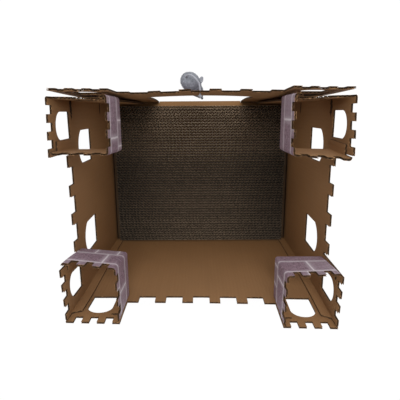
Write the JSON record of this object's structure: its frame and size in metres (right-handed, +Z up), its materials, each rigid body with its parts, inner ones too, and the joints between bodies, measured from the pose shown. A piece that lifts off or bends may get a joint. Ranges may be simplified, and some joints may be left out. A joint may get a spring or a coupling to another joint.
{
  "type": "cardboard cat house",
  "caption": "Open-topped corrugated board castle for a cat, with battlements, corner towers, arched door and windows, a scratching pad floor and a stuffed mouse hung by its tail.",
  "frame": {"origin": "middle of the flat underside of the castle", "axes": "+Z up, -Y out of the door, +X to the right of someone facing the door"},
  "size_m": [0.416, 0.3726, 0.401],
  "materials": {
    "printed_board": "matt print of stone blocks outside, plain brown kraft inside",
    "kraft_board": "plain brown kraft",
    "scratch_board": "open corrugations seen on edge",
    "grey_plush": "short pile",
    "ear_felt": "felt",
    "tail_felt": "twisted cord",
    "dark_bead": "gloss"
  },
  "bodies": {
    "castle": {"back_wall": "printed_board", "left_wall": "printed_board", "right_wall": "printed_board", "floor_panel": "kraft_board", "left_front_flap": "kraft_board", "right_front_flap": "kraft_board", "left_joint_flap": "kraft_board", "right_joint_flap": "kraft_board", "left_bottom_flap": "kraft_board", "right_bottom_flap": "kraft_board", "front_left_tower_liner": "printed_board", "front_right_tower_liner": "printed_board", "back_left_tower_liner": "printed_board", "back_right_tower_liner": "printed_board"},
    "front_wall": {"front_wall": "printed_board"},
    "scratcher_pad": {"scratcher_pad": "scratch_board"},
    "tail": {"tail_cord": "tail_felt", "tail_knot": "tail_felt"},
    "mouse": {"mouse_body": "grey_plush", "mouse_head": "grey_plush", "mouse_nose": "dark_bead", "mouse_left_ear": "ear_felt", "mouse_right_ear": "ear_felt", "mouse_left_eye": "dark_bead", "mouse_right_eye": "dark_bead"}
  },
  "joints": [
    {"name": "front_wall_fold", "type": "hinge", "parent": "castle", "child": "front_wall", "pos_m": [0, -0.167, 0], "axis": [1, 0, 0], "range_deg": [-0.95, 75]},
    {"name": "pad_lift", "type": "slide", "parent": "castle", "child": "scratcher_pad", "axis": [0, 0, 1], "range_m": [0, 0.25]},
    {"name": "mouse_swing", "type": "hinge", "parent": "front_wall", "child": "tail", "pos_m": [0, -0.17047, 0.29998], "axis": [0, 0.9999, 0.0166], "range_deg": [-25, 25]},
    {"name": "mouse_tilt", "type": "hinge", "parent": "tail", "child": "mouse", "pos_m": [0.02219, -0.19686, 0.28256], "axis": [1, 0, 0], "range_deg": [-50, 0]}
  ]
}
